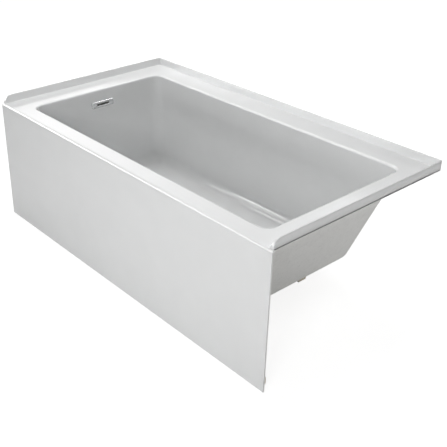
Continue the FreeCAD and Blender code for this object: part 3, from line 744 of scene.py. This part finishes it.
# ---------------------------------------------------------------- tile flange
def flange_section(height, foot, top_thickness, steps):
    """(distance in from the outer face, height over the deck), up outside and down inside."""
    size = tub()
    full = SHELL_HIGH[2] - size.deck_height
    edge = min(2.2 * MM, height * 0.35)
    cove = min(3.0 * MM, height * 0.3)
    face_foot = cove + 1 * MM       # where the inner face comes out of the cove
    inner_at = foot + (top_thickness - foot) * height / full
    arc = turn_values(0, QUARTER_TURN, steps)
    points = [(0.0, -size.acrylic), (0.0, height - edge)]
    points += [(edge - edge * cos, height - edge + edge * sin) for cos, sin in arc[1:]]
    points += [(inner_at - edge + edge * sin, height - edge + edge * cos) for cos, sin in arc]
    points += [(foot - (foot - inner_at) * face_foot / max(height, 2 * MM), face_foot)]
    points += [(foot + cove * (1 - cos), cove * (1 - sin)) for cos, sin in arc]
    points += [(foot + cove, -size.acrylic)]
    return points


def flange_path():
    """Stations along the flange: (outer point, inward direction, height, foot thickness)."""
    size = tub()
    face, back, radius = SHELL_HIGH[0] - size.flange_inset, SHELL_HIGH[1], FLANGE_CORNER
    end_foot, back_foot = size.flange_end_foot, size.flange_back_foot
    full = SHELL_HIGH[2] - size.deck_height
    start = skirt_front(size.deck_height) + size.edge_radius
    tip_angle, tip_steps = 0.02, 14     # the front end's rounding starts just above the deck
    bend_steps = 8
    settle = 50 * MM                    # from a rounding to the next station on the straight run
    rightward = Vector((1, 0, 0))
    stations = []
    for cos, sin in turn_values(tip_angle, QUARTER_TURN, tip_steps):
        stations.append((Vector((-face, start + full * (1 - cos), 0)), rightward, full * sin,
                         end_foot))
    run = spread(start + full + settle, back - settle, 2)
    for y in [start + full + 4 * MM] + run:
        stations.append((Vector((-face, y, 0)), rightward, full, end_foot))
    corner = Vector((-face + radius, back - radius, 0))
    for step, (cos, sin) in enumerate(turn_values(0, QUARTER_TURN, bend_steps)):
        foot = end_foot + (back_foot - end_foot) * step / bend_steps
        stations.append((corner + Vector((-cos, sin, 0)) * radius, Vector((cos, -sin, 0)), full,
                         foot))
    mirrored = []
    for point, inward, height, foot in reversed(stations):
        mirrored.append((Vector((-point.x, point.y, 0)), Vector((-inward.x, inward.y, 0)), height,
                         foot))
    return stations + mirrored


def flange_mesh():
    size = tub()
    builder = bmesh.new()
    rows = []
    for point, inward, height, foot in flange_path():
        row = []
        for depth, rise in flange_section(height, foot, size.flange_top, steps=5):
            place = point + inward * depth
            row.append(builder.verts.new((place.x, place.y, size.deck_height + rise)))
        rows.append(row)
    grid_faces(builder, rows, True)
    builder.faces.new(rows[0])
    builder.faces.new(list(reversed(rows[-1])))
    bmesh.ops.recalc_face_normals(builder, faces=builder.faces)
    return builder


class TUB_OT_tile_flange(bpy.types.Operator):
    """Upstand along both ends and the back, with quarter-round front ends"""

    bl_idname = "bathtub.tile_flange"
    bl_label = "Tile flange"

    def execute(self, context):
        finish_piece("tile_flange", flange_mesh(), "acrylic", replaced=["tub_shell"])
        return {"FINISHED"}


# ---------------------------------------------------------------- overflow cover
def rounded_rectangle(width, height, radius, steps):
    """Closed outline in (y, z), turning one way from its right-hand side."""
    points = []
    for quarter, (sy, sz) in enumerate(((1, 1), (-1, 1), (-1, -1), (1, -1))):
        cy, cz = sy * (width / 2 - radius), sz * (height / 2 - radius)
        start = quarter * QUARTER_TURN
        for cos, sin in turn_values(start, (quarter + 1) * QUARTER_TURN, steps):
            points.append((cy + radius * cos, cz + radius * sin))
    return points


def wall_lean():
    """Angle of the drain-end wall from upright."""
    size = tub()
    return math.atan2(size.drain_draft, size.basin_depth - size.collar - size.foot_radius)


def cover_mesh():
    """Rounded plate with a dished slot, hollow behind, standing on the drain-end wall."""
    plate = (107 * MM, 27 * MM, 3.2 * MM)       # width, height, corner radius
    slot = (58 * MM, 8 * MM, 2 * MM)
    depth, wall, edge, lip = 6.5 * MM, 1.5 * MM, 2.2 * MM, 1.0 * MM
    least_corner = 0.3 * MM
    crown = 1.6 * MM            # how far the face falls back towards its long edges
    steps = 6
    rings = []                  # thin bands beside the roundings keep the flat faces flat

    def ring(x, inset, outline=plate):
        width, height, corner = outline
        corner = max(corner - inset, least_corner)
        flat = rounded_rectangle(width - 2 * inset, height - 2 * inset, corner, steps)
        rings.append([(x, y, z) for y, z in flat])

    ring(0.0, 0.0)
    ring(depth - edge - 0.4 * MM, 0.0)
    for cos, sin in turn_values(0, QUARTER_TURN, steps):
        ring(depth - edge + edge * sin, edge * (1 - cos))
    ring(depth, edge + 0.5 * MM)
    ring(depth, -lip - 0.3 * MM, slot)
    for cos, sin in turn_values(0, QUARTER_TURN, 4):
        ring(depth - lip + lip * cos, -lip + lip * sin, slot)
    ring(depth - wall, 0.0, slot)
    ring(depth - wall, wall)
    ring(0.0, wall)
    builder = bmesh.new()
    rows = [[builder.verts.new(point) for point in points] for points in rings]
    rows.append(rows[0])
    grid_faces(builder, rows, True)
    bmesh.ops.remove_doubles(builder, verts=builder.verts, dist=0.01 * MM)
    bmesh.ops.recalc_face_normals(builder, faces=builder.faces)
    for vertex in builder.verts:
        share = vertex.co.z / (plate[1] / 2)
        vertex.co.x -= crown * share * share * vertex.co.x / depth
    bmesh.ops.transform(builder, matrix=drain_wall_place(), verts=builder.verts)
    return builder


def drain_wall_place():
    """Frame at the overflow's centre on the leaning drain-end wall, x out of the wall."""
    size = tub()
    lag = size.foot_radius * (1 / math.cos(wall_lean()) - 1)
    face = -(SHELL_HIGH[0] - size.flange_inset) + size.drain_end_deck - lag
    x = face + (size.overflow_depth - size.collar) * math.tan(wall_lean())
    place = Matrix.Translation((x, 0, size.deck_height - size.overflow_depth))
    return place @ Matrix.Rotation(-wall_lean(), 4, "Y")


class TUB_OT_overflow_cover(bpy.types.Operator):
    """Chrome cover over the overflow, with one slot"""

    bl_idname = "bathtub.overflow_cover"
    bl_label = "Overflow cover"

    def execute(self, context):
        finish_piece("chrome_overflow_cover", cover_mesh(), "chrome",
                     replaced=["overflow_cover"])
        return {"FINISHED"}


# ---------------------------------------------------------------- drain stopper
def lathe(profile, centre, steps=64):
    """Solid of revolution of a closed (radius, height) profile about an upright axis."""
    builder = bmesh.new()
    rows = []
    for cos, sin in turn_values(0, 2 * math.pi, steps)[:-1]:
        points = [(centre.x + r * cos, centre.y + r * sin, z) for r, z in profile]
        rows.append([builder.verts.new(point) for point in points])
    rows.append(rows[0])
    grid_faces(builder, rows, True)
    bmesh.ops.remove_doubles(builder, verts=builder.verts, dist=0.01 * MM)
    bmesh.ops.recalc_face_normals(builder, faces=builder.faces)
    return builder


def stopper_profile():
    """(radius, height) from the axis down the bore, up the sleeve, and over the domed cap."""
    bore, sleeve = 6.06 * MM, 9 * MM            # radii
    low, top = CAP_LOW[2], CAP_HIGH[2]
    foot = low + 19 * MM                        # underside of the cap
    roof = foot + 0.01 * MM                     # end of the bore
    rim = (CAP_HIGH[0] - CAP_LOW[0]) / 2
    crown_rim, crown_foot = rim - 1.2 * MM, foot + 2.2 * MM
    profile = [(0.0, roof), (bore, roof), (bore, low), (sleeve, low), (sleeve, foot),
               (rim - 1 * MM, foot), (rim, foot + 1.0 * MM), (rim - 0.3 * MM, foot + 2.0 * MM)]
    for cos, sin in turn_values(0, QUARTER_TURN, 10):
        profile.append((max(crown_rim * cos, 0.0), crown_foot + (top - crown_foot) * sin))
    return profile


class TUB_OT_stopper(bpy.types.Operator):
    """Low domed chrome stopper on its sleeve"""

    bl_idname = "bathtub.stopper"
    bl_label = "Drain stopper"

    def execute(self, context):
        finish_piece("chrome_stopper_cap", lathe(stopper_profile(), drain_centre()), "chrome",
                     replaced=["stopper_cap"], body="stopper")
        return {"FINISHED"}


# ---------------------------------------------------------------- studs and screws
def stud_mesh(low, high):
    """Upright timber about x = 0, its front face along the skirt's slope, its edges eased."""
    size = tub()
    half = STUD_WIDTH / 2
    builder = bmesh.new()
    rows = []
    for z in (low[2], high[2]):
        front = low[1] + (z - low[2]) * size.skirt_flare / size.deck_height
        corners = ((-half, front), (half, front), (half, high[1]), (-half, high[1]))
        rows.append([builder.verts.new((x, y, z)) for x, y in corners])
    grid_faces(builder, rows, True)
    for row in rows:
        builder.faces.new(row)
    bmesh.ops.recalc_face_normals(builder, faces=builder.faces)
    bmesh.ops.bevel(builder, geom=builder.edges[:], offset=1.2 * MM, segments=2, profile=0.5,
                    affect="EDGES")
    return builder


class TUB_OT_studs(bpy.types.Operator):
    """Four upright timbers behind the skirt"""

    bl_idname = "bathtub.studs"
    bl_label = "Skirt studs"

    def execute(self, context):
        low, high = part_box("skirt_studs")
        count = 4
        first = low[0] + STUD_WIDTH / 2
        step = -2 * first / (count - 1)
        row = (count, (first, 0.0, 0.0), (step, 0.0, 0.0), (0.0, 0.0, 0.0))
        make_rows("skirt_stud_timbers", stud_mesh(low, high), "coated_upright", [row],
                  "skirt_studs")
        return {"FINISHED"}


def screw_mesh(head, shank_radius, length, pitch):
    """Screw down from z = 0, with head above; head is rings of (radius, height, six-sided)."""
    count = 24                  # a multiple of six, so that the flats meet at points of the ring
    tip_radius = 0.4 * MM
    angles = [2 * math.pi * step / count for step in range(count)]
    builder = bmesh.new()
    rows = []

    def ring(reaches, z):
        rows.append([builder.verts.new((reach * math.cos(angle), reach * math.sin(angle), z))
                     for reach, angle in zip(reaches, angles)])

    for radius, height, six_sided in head:
        ring([radius / math.cos(angle % (math.pi / 3) - math.pi / 6) if six_sided else radius
              for angle in angles], height)
    depth = pitch / 4
    for z in spread(-0.1 * MM, -length + 2 * shank_radius, int(length / pitch * 4)):
        phases = [(z / pitch + step / count) % 1.0 for step in range(count)]
        ring([shank_radius - depth * abs(2 * phase - 1) for phase in phases], z)
    ring([tip_radius] * count, -length)
    grid_faces(builder, rows, True)
    builder.faces.new(rows[0])
    builder.faces.new(rows[-1])
    bmesh.ops.recalc_face_normals(builder, faces=builder.faces)
    return builder


class TUB_OT_brace_screws(bpy.types.Operator):
    """Hex lag screws: two down into the foot rail, two back into the front runner"""

    bl_idname = "bathtub.brace_screws"
    bl_label = "Brace screws"

    def execute(self, context):
        low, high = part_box("skirt_braces")
        strap, hole, gauge = 30 * MM, 12 * MM, 3 * MM   # width, hole from the end, thickness
        across, flange = 5.0 * MM, 3.0 * MM             # radius to the flats, head's height
        head = [(4.2 * MM, flange, False), (4.6 * MM, flange, False), (across, 2.4 * MM, True),
                (across, 0.0, True)]
        first = low[0] + strap / 2
        step = (-2 * first, 0.0, 0.0)
        rail = (2, (first, low[1] + hole, high[2]), step, (0.0, 0.0, 0.0))
        runner = (2, (first, high[1] - gauge, low[2] + hole), step, (QUARTER_TURN, 0.0, 0.0))
        make_rows("hex_lag_screws", screw_mesh(head, 2.5 * MM, 19 * MM, 1.8 * MM), "zinc_steel",
                  [rail, runner], "brace_screws")
        return {"FINISHED"}


class TUB_OT_overflow_screws(bpy.types.Operator):
    """Two socket-headed screws that hold the cover's retainer to the overflow body"""

    bl_idname = "bathtub.overflow_screws"
    bl_label = "Overflow screws"

    def execute(self, context):
        retainer, apart = 2.5 * MM, 90 * MM             # thickness, distance between screws
        socket, radius = 1.5 * MM, 4.4 * MM
        head = [(socket, 0.9 * MM, True), (socket, 2.1 * MM, True), (2.6 * MM, 2.2 * MM, False),
                (3.9 * MM, 1.9 * MM, False), (radius, 1.2 * MM, False), (radius, 0.0, False)]
        start = drain_wall_place() @ Vector((retainer, -apart / 2, 0.0))
        row = (2, tuple(start), (0.0, apart, 0.0), (0.0, QUARTER_TURN - wall_lean(), 0.0))
        make_rows("overflow_machine_screws", screw_mesh(head, 2.5 * MM, 25.1 * MM, 0.8 * MM),
                  "zinc_steel", [row], "overflow_screws")
        return {"FINISHED"}


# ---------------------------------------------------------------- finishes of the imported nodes
NODE_FINISHES = {
    "base_board": "board",
    "front_runner": "coated_long", "back_runner": "coated_long",
    "front_rim_batten": "coated_long", "back_rim_batten": "coated_long",
    "drain_end_batten": "coated_across", "backrest_end_batten": "coated_across",
    "skirt_foot_rail": "coated_long", "skirt_braces": "zinc_steel",
    "drain_strainer": "chrome", "drain_gasket": "rubber", "drain_elbow": "pipe",
    "stopper_seal": "rubber", "stopper_cartridge": "brass",
    "waste_tee": "pipe", "tailpiece": "pipe", "slip_nuts": "nut", "slip_washers": "rubber",
    "overflow_retainer": "zinc_steel",
    "overflow_gasket": "rubber", "overflow_elbow": "pipe",
}


class TUB_OT_node_finishes(bpy.types.Operator):
    """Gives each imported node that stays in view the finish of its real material"""

    bl_idname = "bathtub.node_finishes"
    bl_label = "Finishes of cradle and pipes"

    def execute(self, context):
        for name, finish in NODE_FINISHES.items():
            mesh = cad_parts[name].data
            mesh.materials.clear()
            mesh.materials.append(material(finish))
        return {"FINISHED"}


# ---------------------------------------------------------------- stage
SHADOW_REACH = (1.2, 2.6)       # metres from the origin over which the floor turns fully white
FLOOR_HALF, FLOOR_DROP = 12.0, 0.2 * MM
WORLD_STRENGTH = 0.02
# name, place, target, size, watts, whether only reflections show it
LAMPS = (
    ("overhead_drain_end", (-1.0, 0.7, 3.2), (0.0, 0.0, 0.4), (2.4, 2.0), 73.0, False),
    ("back", (0.0, 2.4, 2.2), (0.0, 0.0, 0.4), (2.5, 1.0), 5.0, False),
    ("front", (0.2, -3.0, 0.6), (0.0, 0.0, 0.35), (3.0, 0.7), 31.0, False),
    ("corner", (1.9, -2.7, 1.75), (-0.6, 0.2, 0.3), (0.8, 0.8), 25.0, False),
    ("open_end", (3.0, 0.3, 0.28), (0.7, 0.1, 0.25), (1.8, 0.4), 15.0, False),
    ("edge_highlight", (-2.3, -1.8, 2.2), (0.0, -0.2, 0.45), (3.0, 1.8), 48.0, True),
    ("low_highlight", (-2.43, -2.26, 1.35), (0.0, -0.3, 0.49), (3.2, 1.4), 130.0, True),
    ("deck_sheen", (-2.4, 1.65, 2.0), (-2.4, 1.65, 0.0), (4.0, 1.6), 40.0, True),
)
# the photo's camera, fitted to the tub's corners: millimetres, shares of the width, degrees
SENSOR, LENS, SHIFT = 36.0, 61.90, (0.03555, -0.0035)
CAMERA_PLACE, CAMERA_DOWN, CAMERA_ROUND = (1.98937, -1.69716, 1.57218), 29.03, 48.91


def plain_floor():
    """Pale studio floor; the camera sees it as white, darkened only by the tub's shadow."""
    floor = bpy.data.materials.new("studio_floor")
    floor.use_nodes = True
    tree = floor.node_tree
    tree.nodes.clear()
    paint = add(tree, "ShaderNodeBsdfDiffuse", Color=linear("#E6E6E6"))
    faint = add(tree, "ShaderNodeBsdfDiffuse", Color=linear("#A0A0A0"))
    place = add(tree, "ShaderNodeTexCoord").outputs["Object"]
    reach = add(tree, "ShaderNodeVectorMath", {"operation": "LENGTH"}, i0=place)
    lit = add(tree, "ShaderNodeMapRange", Value=reach.outputs["Value"], From_Min=SHADOW_REACH[0],
              From_Max=SHADOW_REACH[1], To_Min=0.88, To_Max=1.0)
    glow = add(tree, "ShaderNodeEmission", Color=linear("#FFFFFF"), Strength=lit)
    both = add(tree, "ShaderNodeAddShader", i0=faint, i1=glow)
    path = add(tree, "ShaderNodeLightPath")
    mixed = add(tree, "ShaderNodeMixShader", Fac=path.outputs["Is Camera Ray"], i1=paint, i2=both)
    add(tree, "ShaderNodeOutputMaterial", Surface=mixed)
    return floor


def white_world(strength):
    """White where it is seen, reflected or seen through; otherwise only a faint light."""
    world = bpy.data.worlds.new("studio")
    world.use_nodes = True
    tree = world.node_tree
    tree.nodes.clear()
    light, seen = (add(tree, "ShaderNodeBackground", Color=linear("#FFFFFF"), Strength=value)
                   for value in (strength, 1.0))
    path = add(tree, "ShaderNodeLightPath")
    any_seen = path.outputs["Is Camera Ray"]
    for ray in ("Is Glossy Ray", "Is Transmission Ray"):
        any_seen = add(tree, "ShaderNodeMath", {"operation": "MAXIMUM"}, i0=any_seen,
                       i1=path.outputs[ray])
    mixed = add(tree, "ShaderNodeMixShader", Fac=any_seen, i1=light, i2=seen)
    add(tree, "ShaderNodeOutputWorld", Surface=mixed)
    bpy.context.scene.world = world


def area_light(name, place, target, size, power, only_reflected):
    """Softbox aimed at target; one that is only reflected adds highlights and no light."""
    lamp = bpy.data.lights.new(name, "AREA")
    lamp.shape = "RECTANGLE"
    lamp.size, lamp.size_y = size
    lamp.energy = power
    holder = bpy.data.objects.new(name, lamp)
    holder.location = place
    aim = Vector(target) - Vector(place)
    holder.rotation_euler = aim.to_track_quat("-Z", "Y").to_euler()
    holder.visible_diffuse = not only_reflected
    bpy.context.scene.collection.objects.link(holder)


class TUB_OT_stage(bpy.types.Operator):
    """Plain pale floor, soft studio light and the camera"""

    bl_idname = "bathtub.stage"
    bl_label = "Floor, light and camera"

    def execute(self, context):
        scene = context.scene
        builder = bmesh.new()
        bmesh.ops.create_grid(builder, x_segments=1, y_segments=1, size=FLOOR_HALF)
        bmesh.ops.translate(builder, verts=builder.verts, vec=(0, 0, -FLOOR_DROP))
        floor = new_object("studio_floor", builder)
        floor.data.materials.append(plain_floor())
        white_world(WORLD_STRENGTH)
        for lamp in LAMPS:
            area_light(*lamp)
        lens = bpy.data.cameras.new("photo_camera")
        lens.sensor_width = SENSOR
        lens.lens = LENS
        lens.shift_x, lens.shift_y = SHIFT
        lens.clip_start = 50 * MM
        camera = bpy.data.objects.new("photo_camera", lens)
        camera.location = CAMERA_PLACE
        camera.rotation_euler = (math.radians(90 - CAMERA_DOWN), 0.0, math.radians(CAMERA_ROUND))
        scene.collection.objects.link(camera)
        scene.camera = camera
        scene.view_settings.view_transform = "Standard"
        return {"FINISHED"}


# ---------------------------------------------------------------- add-on
class TUB_PT_panel(bpy.types.Panel):
    bl_label = "Alcove bathtub"
    bl_idname = "TUB_PT_panel"
    bl_space_type = "VIEW_3D"
    bl_region_type = "UI"
    bl_category = "Bathtub"

    def draw(self, context):
        for operator in OPERATORS:
            self.layout.operator(operator.bl_idname)
        for group in (context.scene.bathtub_sizes, context.scene.bathtub_colours):
            box = self.layout.box()
            for name in type(group).__annotations__:
                box.prop(group, name)


OPERATORS = (TUB_OT_acrylic_shell, TUB_OT_fibreglass, TUB_OT_tile_flange, TUB_OT_overflow_cover,
             TUB_OT_stopper, TUB_OT_studs, TUB_OT_brace_screws, TUB_OT_overflow_screws,
             TUB_OT_node_finishes, TUB_OT_stage)
CLASSES = (BathtubSizes, BathtubColours) + OPERATORS + (TUB_PT_panel,)


def register():
    for cls in CLASSES:
        bpy.utils.register_class(cls)
    bpy.types.Scene.bathtub_sizes = PointerProperty(type=BathtubSizes)
    bpy.types.Scene.bathtub_colours = PointerProperty(type=BathtubColours)


def unregister():
    del bpy.types.Scene.bathtub_colours
    del bpy.types.Scene.bathtub_sizes
    for cls in reversed(CLASSES):
        bpy.utils.unregister_class(cls)


def main():
    register()
    bpy.ops.bathtub.acrylic_shell()
    bpy.ops.bathtub.fibreglass()
    bpy.ops.bathtub.tile_flange()
    bpy.ops.bathtub.overflow_cover()
    bpy.ops.bathtub.stopper()
    bpy.ops.bathtub.studs()
    bpy.ops.bathtub.brace_screws()
    bpy.ops.bathtub.overflow_screws()
    bpy.ops.bathtub.node_finishes()
    bpy.ops.bathtub.stage()


if __name__ == "__main__":
    main()
